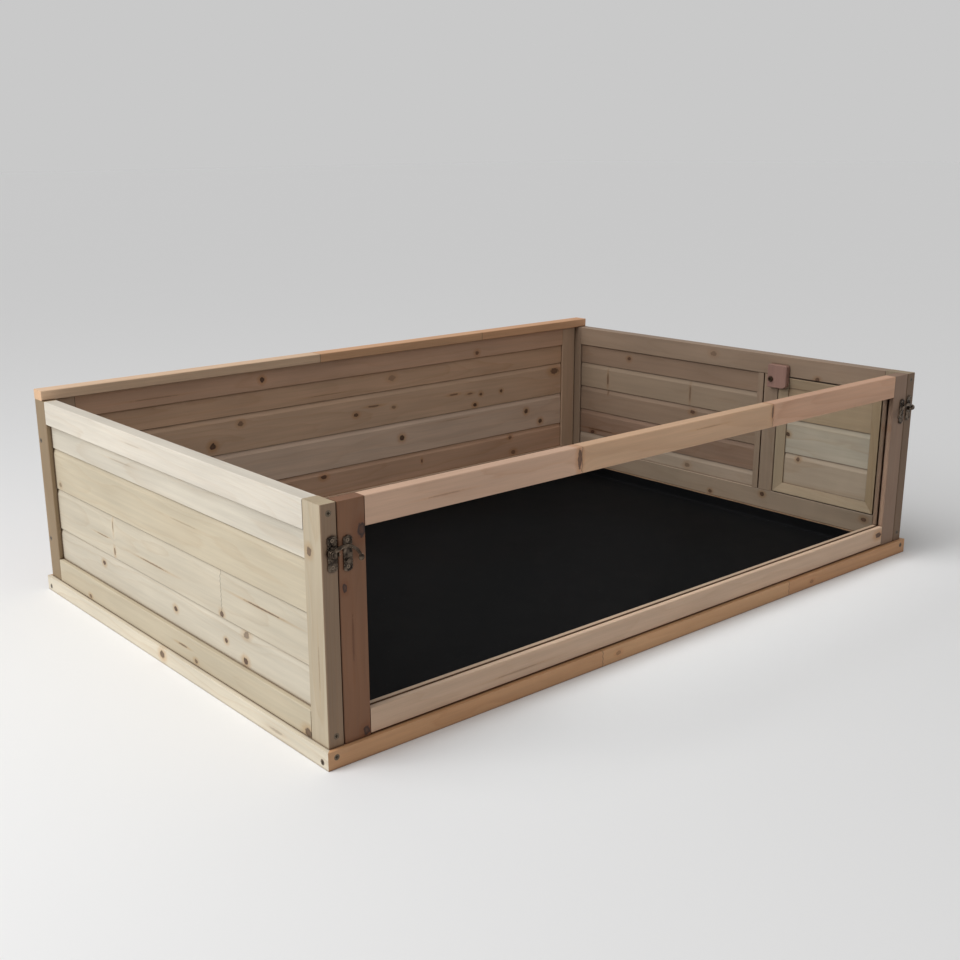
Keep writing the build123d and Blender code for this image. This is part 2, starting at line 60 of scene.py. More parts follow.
# Light: a large soft lamp on the left, a high soft sun on the left and a little behind, and an
# even sky
LAMP_PLACE = (-2.2, 0.25, 1.5)
LAMP_AIM = (-0.45, 0.0, 0.12)
LAMP_SIZE = 1.2
LAMP_ENERGY = 22.0
SUN_HEADING = -112.0
SUN_HEIGHT = 58.0
SUN_ENERGY = 1.25
SUN_SPREAD = 50.0
SUN_PLACE = (0, 0, 2)
SKY_STRENGTH = 0.34
BACKDROP_COLOUR = (201, 201, 201)
FLOOR_COLOUR = (236, 236, 236)
FLOOR_REACH = 40.0
FLOOR_DROP = 0.2
FLOOR_ROUGHNESS = (0.8, 0.9)
FLOOR_CLOUDS = 3.0

# Pine tones. In each table by name, the longest matching start of the name counts.
TONES = {
    "": (200, 170, 140),
    "base_": (196, 162, 130),
    "base_front": (200, 153, 111),
    "base_left": (214, 204, 184),
    "left_": (212, 197, 168),
    "left_top_rail": (212, 204, 190),
    "left_board_1": (204, 196, 180),
    "left_board_2": (194, 182, 158),
    "left_board_3": (196, 186, 166),
    "left_board_4": (198, 189, 171),
    "left_bottom_rail": (190, 178, 154),
    "door_board_3": (176, 157, 136),
    "left_front_stile": (182, 168, 144),
    "left_rear_stile": (142, 121, 93),
    "back_": (206, 174, 146),
    "back_top_rail": (214, 172, 142),
    "back_board_1": (212, 172, 140),
    "back_board_2": (212, 176, 146),
    "back_board_3": (224, 194, 170),
    "back_board_4": (212, 170, 140),
    "back_cap": (224, 190, 158),
    # Right wall and door_ tones: darkened as painted shade for the wall's shaded inner side;
    # right_front_stile less so, a painted lit patch
    "right_": (148, 126, 106),
    "right_board_1": (141, 117, 97),
    "right_board_2": (150, 130, 109),
    "right_board_3": (143, 120, 100),
    "right_board_4": (138, 111, 92),
    "right_board_5": (166, 146, 127),
    "right_bottom_rail": (152, 132, 112),
    "right_front_stile": (157, 140, 117),
    "door_": (166, 145, 119),
    "door_board_1": (168, 145, 117),
    "door_board_2": (182, 170, 152),
    "door_front_strip": (162, 139, 110),
    "front_": (200, 168, 138),
    "front_left_stile": (128, 88, 60),
    "front_top_rail": (204, 168, 142),
    "front_bottom_rail": (206, 176, 150),
    "front_right_stile": (140, 113, 93),
    "turn_button": (150, 116, 104),
}

# The direction through each piece's thickness
THROUGH = {
    "": "y",
    "base_left": "x",
    "base_right": "x",
    "left_": "x",
    "right_": "x",
    "door_": "x",
    "turn_button": "x",
    "back_cap": "z",
}

# Posts whose front face is darkened as painted shade, for the shade on that side, and how deep that
# goes
SHADED_FRONT_POSTS = ("left_front_stile", "right_front_stile")
SHADED_FRONT_DEPTH = (0.6, 1.4)
SHADED_FRONT_TINT = (0.54, 0.42, 0.36)

# Knots and pitch marks: place along the wall, height, radius, stretch along the grain, darkness
KNOTS = {
    "": [],
    "left_front_stile": [(-369, 255, 5.0, 1.2, 0.7), (-380, 120, 1.0, 30, 0.3)],
    "left_bottom_rail": [(-352, 29, 6.0, 1.4, 0.8), (-83, 30, 3.4, 1.4, 0.7),
                         (-48, 42, 1.4, 10, 0.7), (247, 29, 3.4, 1.5, 0.7)],
    "left_top_rail": [(60, 298, 1.0, 26, 0.2)],
    "left_board_1": [(120, 262, 1.0, 36, 0.25), (90, 276, 2.0, 4, 0.6), (-60, 275, 2.0, 3, 0.5)],
    "left_board_2": [(343, 183, 4.0, 1.2, 0.5), (-60, 214, 1.0, 40, 0.25)],
    "left_board_3": [(162, 158, 10.0, 0.16, 0.6), (162, 121, 7.0, 0.4, 0.7),
                     (-148, 114, 4.5, 1.1, 0.8), (40, 132, 1.2, 36, 0.6),
                     (200, 136, 1.0, 20, 0.6), (-250, 150, 1.2, 40, 0.7)],
    "left_board_4": [(-202, 67, 5.2, 1.2, 0.9), (-206, 103, 4.6, 1.6, 0.6),
                     (-20, 84, 4.2, 1.2, 0.9), (-155, 80, 3.6, 1.2, 0.9),
                     (203, 92, 3.8, 1.4, 0.9)],
    "base_left": [(4, 13, 6.0, 1.2, 0.8), (-290, 9, 2.0, 8, 0.3)],
    "back_top_rail": [(-197, 295, 5.0, 1.0, 0.9), (298, 287, 4.4, 1.2, 0.7),
                      (-400, 290, 1.2, 40, 0.3)],
    "back_board_1": [(88, 262, 6.0, 1.6, 0.35), (-60, 250, 1.0, 40, 0.3)],
    "back_board_2": [(-299, 191, 6.4, 1.0, 0.9), (-242, 223, 5.0, 1.2, 0.6),
                     (3, 203, 4.0, 1.4, 0.8), (44, 214, 2.0, 8, 0.6), (91, 206, 3.4, 1.6, 0.5),
                     (240, 210, 2.0, 6, 0.6), (282, 207, 2.0, 4, 0.6), (295, 182, 4.0, 1.3, 0.9),
                     (311, 202, 3.6, 1.2, 0.8), (366, 201, 3.6, 1.1, 0.8),
                     (517, 224, 7.0, 1.8, 0.7), (-470, 214, 4.0, 1.6, 0.6)],
    "back_board_3": [(436, 149, 5.4, 1.0, 0.9), (477, 122, 5.4, 1.1, 0.9),
                     (109, 143, 6.0, 1.1, 0.9), (250, 160, 1.2, 30, 0.2)],
    "back_board_4": [(391, 100, 4.0, 1.3, 0.6), (400, 67, 5.0, 1.3, 0.6), (-74, 97, 4.4, 1.6, 0.8),
                     (157, 89, 4.0, 0.5, 0.8), (-250, 84, 5.0, 1.4, 0.7)],
    "right_top_rail": [(8, 299, 5.0, 1.6, 0.4), (-222, 280, 3.6, 1.4, 0.8)],
    "right_board_1": [(224, 262, 4.2, 1.2, 0.8)],
    "right_board_2": [(281, 212, 13.0, 0.16, 0.7), (63, 212, 16.0, 0.12, 0.5)],
    "right_board_3": [(55, 178, 4.2, 1.6, 0.8), (280, 184, 4.0, 0.5, 0.5)],
    "right_board_4": [(300, 100, 1.4, 30, 0.7), (62, 128, 1.4, 24, 0.5), (321, 94, 4.4, 1.4, 0.9)],
    "right_board_5": [(62, 70, 4.6, 1.4, 0.5)],
    "right_bottom_rail": [(-121, 49, 4.4, 1.2, 0.9), (0, 30, 4.0, 1.2, 0.8),
                          (-335, 48, 4.4, 1.4, 0.8)],
    "door_board_1": [(-190, 232, 1.2, 24, 0.3)],
    "door_board_2": [(-165, 171, 4.5, 1.1, 0.9)],
    "door_board_3": [(-190, 128, 4.0, 1.1, 0.8)],
    "front_left_stile": [(-540, 275, 7.0, 1.4, 1.0), (-565, 212, 3.6, 1.6, 1.0),
                         (-541, 31, 5.4, 1.2, 1.0), (-556, 150, 1.4, 24, 0.4)],
    "front_right_stile": [(528, 226, 4.4, 1.2, 0.9), (521, 250, 2.4, 1.4, 0.6)],
    "front_top_rail": [(-197, 298, 14.0, 0.3, 0.8), (206, 301, 10.0, 0.26, 0.7),
                       (-420, 293, 1.0, 30, 0.3), (60, 301, 1.0, 30, 0.3)],
    "front_bottom_rail": [(525, 44, 5.0, 1.8, 0.9), (-300, 36, 1.2, 36, 0.3)],
    "base_front": [(-120, 12, 3.4, 1.6, 0.4), (330, 9, 3.4, 1.6, 0.4)],
}
# Pieces that the photograph doesn't show well get a few knots by chance
CHANCE_KNOTS = ("base_rear", "base_right")
CHANCE_COUNT = 3
CHANCE_RADII = (3.0, 5.0)
CHANCE_SHAPE = (1.4, 0.8)
CHANCE_SPREAD = (0.45, 0.3)

# Finger joints: the place along the piece where one length of timber ends, and the next tone
FINGER_JOINTS = {
    "": [],
    "back_cap": [(-81, (214, 166, 126)), (303, (216, 165, 124))],
    "front_top_rail": [(-192, (206, 168, 134)), (208, (203, 160, 131))],
    "left_board_3": [(-148, (198, 188, 168))],
    "base_front": [(-150, (203, 158, 116)), (270, (195, 147, 105))],
}
FINGER_REACH = 1.6
FINGER_PITCH = 7.0
FINGER_LINE = (0.3, 1.1)
FINGER_SHADE = 0.5

# Growth rings: the heart of the log is a sloping line some way behind or beside the piece
RING_SPACING = (3.4, 6.0)
HEART_BEHIND = (40.0, 110.0)
HEART_ASIDE = 16.0
HEART_SLOPE = 0.03
RING_SEEDS = (0.0, 9.0)
NEXT_RING_SEED = 3.7
SEED_SHIFT = 977.0
RING_SWAY = 16.0
RING_WOBBLE = 1.6
UNEVEN_RATE = 1.3
UNEVEN_SHARE = 0.3
FAINTEST_RING = 0.35
LATEWOOD_CURVE = ((0.0, 0.0), (0.5, 0.06), (0.82, 0.6), (0.93, 1.0), (1.0, 0.0))
LATEWOOD_TINT = (0.78, 0.64, 0.50)
LATEWOOD_SHARE = (0.22, 0.42)

# Noise in pine: scales along, across and through a piece, where most of it lies, and the range
# of brightness that it gives
SWAY_SCALES = (0.0042, 0.018, 0.018)
WOBBLE_SCALES = (0.02, 0.16, 0.16)
FIBRE_SCALES = (0.03, 1.1, 1.1)
STREAK_SCALES = (0.0035, 0.16, 0.16)
MOTTLE_SCALES = (0.007, 0.03, 0.03)
NOISE_SPAN = (0.3, 0.7)
FIBRE_LEVELS = (0.95, 1.04)
STREAK_LEVELS = (0.94, 1.04)
MOTTLE_LEVELS = (0.94, 1.05)
PINE_ROUGHNESS = (0.56, 0.70)
LATEWOOD_HEIGHT = 0.5
GRAIN_RELIEF = 0.35
GRAIN_HEIGHT = 0.15

# Knots: the edge, dark rim and halo in knot radii, and how the grain flows round them
KNOT_DARK = (50, 28, 18)
KNOT_WARM = (82, 49, 31)
KNOT_ROUGH_SCALE = 0.22
KNOT_ROUGHNESS = 0.9
KNOT_EDGE = (0.7, 1.05)
KNOT_RIM = (0.15, 0.7)
KNOT_HALO = (0.8, 2.6)
HALO_TINT = (0.84, 0.62, 0.40)
HALO_SHARE = 0.75
FLOW_STRETCH = 0.2
FLOW_REACH = 2.0
FLOW_PULL = 0.85

# End grain shows where a face looks along the piece
END_GRAIN_TINT = (0.90, 0.85, 0.78)
END_FACING = (0.85, 0.95)

# Painted shade: pine is darkened in corners, joints and under proud parts, where shade falls.
# How far off a neighbour shades a place, and how open a place is where the painted shade is full
# and where it ends
PAINTED_SHADE_TINT = (0.26, 0.17, 0.11)
PAINTED_SHADE_REACHES = {"": 3.4, "left_board_": 6.0}
PAINTED_SHADE_ENDS = {"": (0.35, 0.88), "left_": (0.50, 0.97), "left_board_": (0.56, 0.76)}
PAINTED_SHADE_SAMPLES = 6

# Metals: dark and bright tone, roughness, scale of the tarnish and relief of the scratches
METALS = {
    "bronze": ((42, 35, 31), (128, 113, 98), (0.24, 0.38), 120.0, 0.2),
    # The latch arms' bronze: a lighter copy of the bronze, as a painted highlight
    "painted_highlight_bronze": ((58, 48, 41), (138, 121, 104), (0.18, 0.30), 120.0, 0.15),
    "hinge_brass": ((120, 98, 60), (190, 166, 112), (0.26, 0.42), 180.0, 0.2),
    "screw_steel": ((52, 44, 37), (112, 100, 86), (0.26, 0.42), 300.0, 0.2),
}
# Pointiness over which raised places get a painted highlight
RAISED_HIGHLIGHT = (0.50, 0.58)
TARNISH_SPAN = (0.35, 0.75)
SCRATCH_FINENESS = 3
SCRATCH_HEIGHT = 0.05

# Latches
LATCH_VOXEL = 0.32
LATCH_SOFTEN = (0.5, 2)
BALL_SEGMENTS = (20, 12)
MERGE_REACH = 0.002
PLATE_MIDDLE = (580.5, 255.0)
STRIKE_MIDDLE = (560.0, 252.0)
PLATE_FACE = -395.2
# Relief of a plate: beads down both edges, leaves aside of the middle line, and knobs on it, as
# places from its middle and radii
BEAD_ASIDE = 5.3
BEAD_PITCH = 4.1
BEAD_STEPS = range(-4, 5)
BEAD_RADII = (0.9, 0.9, 1.7)
LEAVES = ((3.4, 9.8, (1.7, 1.3, 2.8)), (2.2, 19.0, (2.2, 0.9, 1.3)))
KNOBS = ((19.6, (1.6, 1.4, 1.5)), (11.4, (1.1, 1.2, 1.9)), (6.4, (2.4, 1.1, 1.2)))
ARM_LAYER = -400.1
ARM_HALF_DEPTH = 1.5
ARM_PIVOT = (583.0, 256.6)
ARM_TIP = (545.4, 245.6)
ARM_BEND = 22.8
ARM_EYE_RADIUS = 3.55
ARM_EYE_THICKNESS = 1.42
ARM_STEPS = 90
ARM_EYE_STEPS = 28
ARM_KNOB = (3.8, 1.9, 3.8)
# At the tip, and how much more at the pivot
ARM_HALF_WIDTHS = (1.9, 1.1)
ARM_HALF_DEPTHS = (1.2, 0.3)

# Clear panel: the photograph shows no reflection in it, so its index is close to that of air
CLEAR_IOR = 1.002
CLEAR_TINTS = ((250, 252, 252), (238, 243, 243))
SMUDGE_SCALE = 9.0
SMUDGE_SPAN = (0.35, 0.75)

# Floor liner: a sheet with its edges turned up inside the base ring
LINER_HALF = (571.0, 371.0)
LINER_FLAT = (1.1805, 0.7805)
LINER_EDGE = 24.25
LINER_EDGE_CELLS = 14
LINER_BEND = 5.0
LINER_THICKNESS = 1.0
LINER_FLOOR = 0.7
LINER_CELLS = (150, 100)
LINER_SLACK = 0.01
LINER_RIPPLE = 0.55
LINER_RIPPLE_SCALE = 0.006
LINER_RIPPLE_LAYER = 0.3
LINER_WAVE = 1.6
LINER_WAVE_SCALE = 0.021
LINER_WAVE_LAYER = 4.0
LINER_WAVE_DROP = 0.7
LINER_TONES = ((11, 11, 12), (17, 17, 18))
LINER_CLOUDS = 5.0
LINER_DUST = (60, 58, 55)
LINER_DUST_SCALE = 160.0
LINER_DUST_SPAN = (0.60, 0.75)
LINER_DUST_SHARE = 0.08
LINER_SPECULAR = 0.08
LINER_ROUGHNESS = (0.68, 0.82)
LINER_NAP_SCALE = 55.0
LINER_NAP_RELIEF = 0.12
LINER_NAP_HEIGHT = 0.4


def linear(colour):
    """A screen colour of 0 to 255 as the linear one that Blender mixes, with full alpha."""
    shares = [value / 255 for value in colour]
    bent = [s / 12.92 if s <= 0.04045 else ((s + 0.055) / 1.055) ** 2.4 for s in shares]
    return (*bent, 1.0)


def longest_match(table, name):
    """The table's entry whose key is the longest start of the name."""
    return table[max((key for key in table if name.startswith(key)), key=len)]


class Tree:
    """Short calls for building one node tree."""

    def __init__(self, tree):
        self.tree = tree

    def put(self, socket, value):
        """Links an output to a socket, or sets the socket's own value."""
        if isinstance(value, bpy.types.NodeSocket):
            self.tree.links.new(value, socket)
        else:
            socket.default_value = value

    def node(self, kind, inputs=None, **settings):
        """A new shader node with its settings and inputs."""
        node = self.tree.nodes.new(kind)
        for name, value in settings.items():
            setattr(node, name, value)
        for name, value in (inputs or {}).items():
            self.put(node.inputs[name], value)
        return node

    def maths(self, operation, *values):
        """One arithmetic step."""
        node = self.node("ShaderNodeMath", operation=operation)
        for socket, value in zip(node.inputs, values):
            self.put(socket, value)
        return node.outputs[0]

    def combine(self, *values):
        """Three numbers as a vector."""
        return self.node("ShaderNodeCombineXYZ", dict(zip("XYZ", values))).outputs[0]

    def scaled(self, values, scales):
        """Three numbers, each scaled, as a vector."""
        return self.combine(*(self.maths("MULTIPLY", v, s) for v, s in zip(values, scales)))

    def noise(self, vector, scale=1.0, detail=2.0):
        """Smooth noise from 0 to 1."""
        inputs = {"Vector": vector, "Scale": scale, "Detail": detail}
        return self.node("ShaderNodeTexNoise", inputs).outputs[0]

    def remap(self, value, low, high, start=0.0, end=1.0, smooth=True):
        """The value's range from low to high turned to start to end."""
        inputs = {"Value": value, "From Min": low, "From Max": high, "To Min": start, "To Max": end}
        kind = "SMOOTHSTEP" if smooth else "LINEAR"
        return self.node("ShaderNodeMapRange", inputs, interpolation_type=kind).outputs[0]

    def ramp(self, value, *stops):
        """A curve through (place, height) stops, as a number."""
        node = self.node("ShaderNodeValToRGB", {"Fac": value})
        elements = node.color_ramp.elements
        while len(elements) < len(stops):
            elements.new(0.5)
        for element, (place, height) in zip(elements, stops):
            element.position = place
            element.color = (height, height, height, 1.0)
        return node.outputs[0]

    def mix(self, share, first, second, blend="MIX"):
        """Two colours mixed."""
        node = self.node("ShaderNodeMix", data_type="RGBA", blend_type=blend)
        for number, value in ((0, share), (6, first), (7, second)):
            self.put(node.inputs[number], value)
        return node.outputs[2]

    def shade(self, share, colour, tint):
        """A colour, turned by a share to its product with a tint."""
        return self.mix(share, colour, self.mix(1.0, colour, (*tint, 1.0), "MULTIPLY"))


def new_group(name, inputs, outputs):
    """An empty node group: its tree, its inputs' sockets and its output node."""
    group = bpy.data.node_groups.new(name, "ShaderNodeTree")
    for title, way in [(t, "INPUT") for t in inputs] + [(t, "OUTPUT") for t in outputs]:
        group.interface.new_socket(title, in_out=way, socket_type="NodeSocketFloat")
    tree = Tree(group)
    return tree, tree.node("NodeGroupInput").outputs, tree.node("NodeGroupOutput").inputs


def ring_group():
    """Growth rings and fibres at a place in a piece, for a log whose heart is a sloping line."""
    inputs = ("Along", "Across", "Depth", "Heart across", "Heart depth", "Slope across",
              "Slope depth", "Spacing", "Seed")
    tree, given, out = new_group("pine_rings", inputs, ("Late", "Fibre", "Streak", "Mottle"))
    along, across, depth = (given[name] for name in ("Along", "Across", "Depth"))
    moved = tree.maths("ADD", along, tree.maths("MULTIPLY", given["Seed"], SEED_SHIFT))
    place = (moved, across, depth)
    sway = tree.noise(tree.scaled(place, SWAY_SCALES))
    sway = tree.maths("MULTIPLY", tree.maths("SUBTRACT", sway, 0.5), RING_SWAY)
    sides = []
    for side, heart, slope in ((across, "Heart across", "Slope across"),
                               (depth, "Heart depth", "Slope depth")):
        line = tree.maths("ADD", given[heart], tree.maths("MULTIPLY", along, given[slope]))
        side = tree.maths("ADD", tree.maths("SUBTRACT", side, line), sway)
        sides.append(tree.maths("MULTIPLY", side, side))
    radius = tree.maths("SQRT", tree.maths("ADD", *sides))
    fine = tree.noise(tree.scaled(place, WOBBLE_SCALES), detail=3.0)
    radius = tree.maths("ADD", radius, tree.maths("MULTIPLY", fine, RING_WOBBLE))
    turns = tree.maths("ADD", tree.maths("DIVIDE", radius, given["Spacing"]), given["Seed"])
    uneven = tree.maths("SINE", tree.maths("MULTIPLY", turns, UNEVEN_RATE))
    turns = tree.maths("ADD", turns, tree.maths("MULTIPLY", uneven, UNEVEN_SHARE))
    late = tree.ramp(tree.maths("FRACT", turns), *LATEWOOD_CURVE)
    chance = tree.node("ShaderNodeTexWhiteNoise", {"W": tree.maths("FLOOR", turns)},
                       noise_dimensions="1D").outputs["Value"]
    level = tree.remap(chance, 0.0, 1.0, FAINTEST_RING, 1.0, smooth=False)
    late = tree.maths("MULTIPLY", late, level)
    tree.put(out["Late"], late)
    tree.put(out["Fibre"], tree.noise(tree.scaled(place, FIBRE_SCALES), detail=3.0))
    tree.put(out["Streak"], tree.noise(tree.scaled(place, STREAK_SCALES)))
    tree.put(out["Mottle"], tree.noise(tree.scaled(place, MOTTLE_SCALES), detail=1.0))
    return tree.tree


def knot_group():
    """One knot: its dark core, its warm halo, and the grain drawn aside to flow round it."""
    inputs = ("Along", "Across", "Centre along", "Centre across", "Radius", "Stretch",
              "Darkness", "Core", "Rim", "Halo")
    tree, given, out = new_group("knot", inputs, ("Across", "Core", "Rim", "Halo"))
    along = tree.maths("SUBTRACT", given["Along"], given["Centre along"])
    along = tree.maths("DIVIDE", along, given["Stretch"])
    across = tree.maths("SUBTRACT", given["Across"], given["Centre across"])
    squares = [tree.maths("MULTIPLY", side, side) for side in (along, across)]
    reach = tree.maths("DIVIDE", tree.maths("SQRT", tree.maths("ADD", *squares)), given["Radius"])
    rough = tree.noise(tree.combine(given["Along"], given["Across"], 0.0), KNOT_ROUGH_SCALE)
    rough = tree.maths("MULTIPLY", tree.maths("SUBTRACT", rough, 0.5), KNOT_ROUGHNESS)
    reach = tree.maths("ADD", reach, rough)
    inside = tree.remap(reach, *KNOT_EDGE, 1.0, 0.0)
    core = tree.maths("MULTIPLY", inside, given["Darkness"])
    rim = tree.maths("MULTIPLY", inside, tree.remap(reach, *KNOT_RIM))
    halo = tree.maths("MULTIPLY", tree.remap(reach, *KNOT_HALO, 1.0, 0.0), given["Darkness"])
    wide = tree.maths("MULTIPLY", squares[0], FLOW_STRETCH)
    wide = tree.maths("SQRT", tree.maths("ADD", wide, squares[1]))
    wide = tree.maths("DIVIDE", wide, tree.maths("MULTIPLY", given["Radius"], FLOW_REACH))
    pull = tree.maths("EXPONENT", tree.maths("MULTIPLY", tree.maths("MULTIPLY", wide, wide), -1.0))
    pull = tree.maths("MULTIPLY", tree.maths("MULTIPLY", pull, FLOW_PULL), across)
    tree.put(out["Across"], tree.maths("SUBTRACT", given["Across"], pull))
    for title, value in (("Core", core), ("Rim", rim), ("Halo", halo)):
        tree.put(out[title], tree.maths("MAXIMUM", given[title], value))
    return tree.tree


def new_material(name):
    """A material with an empty tree, its output's surface socket and a Principled shader."""
    material = bpy.data.materials.new(name)
    material.use_nodes = True
    material.node_tree.nodes.clear()
    tree = Tree(material.node_tree)
    output = tree.node("ShaderNodeOutputMaterial")
    shader = tree.node("ShaderNodeBsdfPrincipled")
    tree.put(output.inputs["Surface"], shader.outputs[0])
    return material, tree, shader, output


def add_bump(tree, shader, height, strength, distance):
    """Fine relief from a height."""
    inputs = {"Height": height, "Strength": strength, "Distance": distance}
    tree.put(shader.inputs["Normal"], tree.node("ShaderNodeBump", inputs).outputs[0])


def piece_axes(name):
    """Which row axes run along, across and through a piece of timber, and its middle in mm."""
    low, high = (Vector(corner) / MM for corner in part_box(name))
    through = AXES.index(longest_match(THROUGH, name))
    others = sorted((a for a in range(3) if a != through), key=lambda a: low[a] - high[a])
    return (*others, through), (low + high) / 2, high - low


def knot_list(name, axes, middle, size, chance):
    """The piece's knots as places along and across it."""
    listed = longest_match(KNOTS, name)
    if name.startswith(CHANCE_KNOTS):
        listed = [(None, None, chance.uniform(*CHANCE_RADII), *CHANCE_SHAPE)
                  for _ in range(CHANCE_COUNT)]
    knots = []
    for place, level, radius, stretch, darkness in listed:
        if place is None:
            spot = [chance.uniform(-spread, spread) * size[axis]
                    for spread, axis in zip(CHANCE_SPREAD, axes)]
        else:
            row = [level if axis == 2 else place for axis in axes[:2]]
            spot = [value - middle[axis] for value, axis in zip(row, axes)]
        knots.append((*spot, radius, stretch, darkness))
    return knots


def pine(name, groups):
    """The material of one piece of timber, with its own log, knots and finger joints."""
    rings, knot = groups
    chance = random.Random(name)
    axes, middle, size = piece_axes(name)
    material, tree, shader, _ = new_material(f"pine_{name}")
    coordinates = tree.node("ShaderNodeTexCoord")
    row = tree.node("ShaderNodeSeparateXYZ", {0: coordinates.outputs["Object"]}).outputs
    along, across, depth = (
        tree.maths("MULTIPLY_ADD", row[axis], 1 / MM, -middle[axis]) for axis in axes
    )
    core = rim = halo = 0.0
    titles = ("Centre along", "Centre across", "Radius", "Stretch", "Darkness")
    for values in knot_list(name, axes, middle, size, chance):
        place = {"Along": along, "Across": across, "Core": core, "Rim": rim, "Halo": halo,
                 **dict(zip(titles, values))}
        found = tree.node("ShaderNodeGroup", node_tree=knot)
        for title, value in place.items():
            tree.put(found.inputs[title], value)
        across, core, rim, halo = found.outputs
    tone = linear(longest_match(TONES, name))
    seed = chance.uniform(*RING_SEEDS)
    line = 0.0
    for start, next_tone in longest_match(FINGER_JOINTS, name):
        tooth = tree.maths("PINGPONG", across, FINGER_PITCH / 2)
        edge = tree.maths("MULTIPLY_ADD", tooth, 2 * FINGER_REACH / FINGER_PITCH, along)
        edge = tree.maths("SUBTRACT", edge, start - middle[axes[0]])
        past = tree.maths("GREATER_THAN", edge, 0.0)
        tone = tree.mix(past, tone, linear(next_tone))
        seed = tree.maths("MULTIPLY_ADD", past, NEXT_RING_SEED, seed)
        near = tree.remap(tree.maths("ABSOLUTE", edge), *FINGER_LINE, 1.0, 0.0)
        line = tree.maths("MAXIMUM", line, near)
    behind = chance.choice((-1, 1)) * chance.uniform(*HEART_BEHIND)
    place = {"Along": along, "Across": across, "Depth": depth,
             "Heart across": chance.uniform(-HEART_ASIDE, HEART_ASIDE), "Heart depth": behind,
             "Slope across": chance.uniform(-HEART_SLOPE, HEART_SLOPE),
             "Slope depth": chance.uniform(-HEART_SLOPE, HEART_SLOPE),
             "Spacing": chance.uniform(*RING_SPACING), "Seed": seed}
    grain = tree.node("ShaderNodeGroup", node_tree=rings)
    for title, value in place.items():
        tree.put(grain.inputs[title], value)
    late, fibre, streak, mottle = grain.outputs
    share = tree.maths("MULTIPLY", late, chance.uniform(*LATEWOOD_SHARE))
    colour = tree.shade(share, tone, LATEWOOD_TINT)
    for field, levels in ((streak, STREAK_LEVELS), (mottle, MOTTLE_LEVELS), (fibre, FIBRE_LEVELS)):
        level = tree.remap(field, *NOISE_SPAN, *levels, smooth=False)
        colour = tree.mix(1.0, colour, tree.combine(level, level, level), "MULTIPLY")
    colour = tree.shade(tree.maths("MULTIPLY", halo, HALO_SHARE), colour, HALO_TINT)
    colour = tree.mix(core, colour, tree.mix(rim, linear(KNOT_WARM), linear(KNOT_DARK)))
    # Painted shade on the post's front face
    if name in SHADED_FRONT_POSTS:
        front = (middle.y - size.y / 2) * MM
        inward = tree.maths("SUBTRACT", row[1], front)
        shaded_front = tree.remap(inward, *(reach * MM for reach in SHADED_FRONT_DEPTH), 1.0, 0.0)
        colour = tree.shade(shaded_front, colour, SHADED_FRONT_TINT)
    normal = tree.node("ShaderNodeSeparateXYZ", {0: coordinates.outputs["Normal"]}).outputs
    end = tree.remap(tree.maths("ABSOLUTE", normal[axes[0]]), *END_FACING)
    colour = tree.shade(end, colour, END_GRAIN_TINT)
    colour = tree.mix(tree.maths("MULTIPLY", line, FINGER_SHADE), colour, linear(KNOT_DARK))
    # Painted shade where neighbours crowd a place; the left boards' longer reach paints the shadow
    # line under the top rail
    reach = longest_match(PAINTED_SHADE_REACHES, name) * MM
    open_share = tree.node("ShaderNodeAmbientOcclusion", {"Distance": reach},
                           samples=PAINTED_SHADE_SAMPLES).outputs["AO"]
    ends = longest_match(PAINTED_SHADE_ENDS, name)
    painted_shade = tree.remap(open_share, *ends, 1.0, 0.0, smooth=False)
    colour = tree.shade(painted_shade, colour, PAINTED_SHADE_TINT)
    tree.put(shader.inputs["Base Color"], colour)
    tree.put(shader.inputs["Roughness"], tree.remap(fibre, *NOISE_SPAN, *PINE_ROUGHNESS))
    height = tree.maths("MULTIPLY_ADD", late, LATEWOOD_HEIGHT, fibre)
    add_bump(tree, shader, height, GRAIN_RELIEF, GRAIN_HEIGHT * MM)
    return material


def metal(name, dark, bright, roughness, scale, scratches):
    """A metal with a painted highlight on its raised places, tarnish and fine marks."""
    material, tree, shader, _ = new_material(name)
    place = tree.node("ShaderNodeTexCoord").outputs["Object"]
    shader.inputs["Metallic"].default_value = 1.0
    tarnish = tree.noise(place, scale=scale, detail=4.0)
    raised = tree.node("ShaderNodeNewGeometry").outputs["Pointiness"]
    # Painted highlight: raised places are lighter
    raised_highlight = tree.remap(raised, *RAISED_HIGHLIGHT)
    share = tree.maths("MAXIMUM", tree.remap(tarnish, *TARNISH_SPAN), raised_highlight)
    tree.put(shader.inputs["Base Color"], tree.mix(share, linear(dark), linear(bright)))
    tree.put(shader.inputs["Roughness"], tree.remap(tarnish, *NOISE_SPAN, *roughness))
    marks = tree.noise(place, scale=scale * SCRATCH_FINENESS)
    add_bump(tree, shader, marks, scratches, SCRATCH_HEIGHT * MM)
    return material


def clear_sheet():
    """The clear panel: a thin hard sheet that lets light through to what stands behind it."""
    material, tree, shader, output = new_material("clear_sheet")
    shader.inputs["Roughness"].default_value = 0.0
    shader.inputs["IOR"].default_value = CLEAR_IOR
    shader.inputs["Transmission Weight"].default_value = 1.0
    place = tree.node("ShaderNodeTexCoord").outputs["Object"]
    smudge = tree.remap(tree.noise(place, SMUDGE_SCALE, detail=3.0), *SMUDGE_SPAN)
    clean, smudged = (linear(tint) for tint in CLEAR_TINTS)
    tree.put(shader.inputs["Base Color"], tree.mix(smudge, clean, smudged))
    through = tree.node("ShaderNodeBsdfTransparent")
    shadow = tree.node("ShaderNodeLightPath").outputs["Is Shadow Ray"]
    parts = {0: shadow, 1: shader.outputs[0], 2: through.outputs[0]}
    tree.put(output.inputs["Surface"], tree.node("ShaderNodeMixShader", parts).outputs[0])
    return material


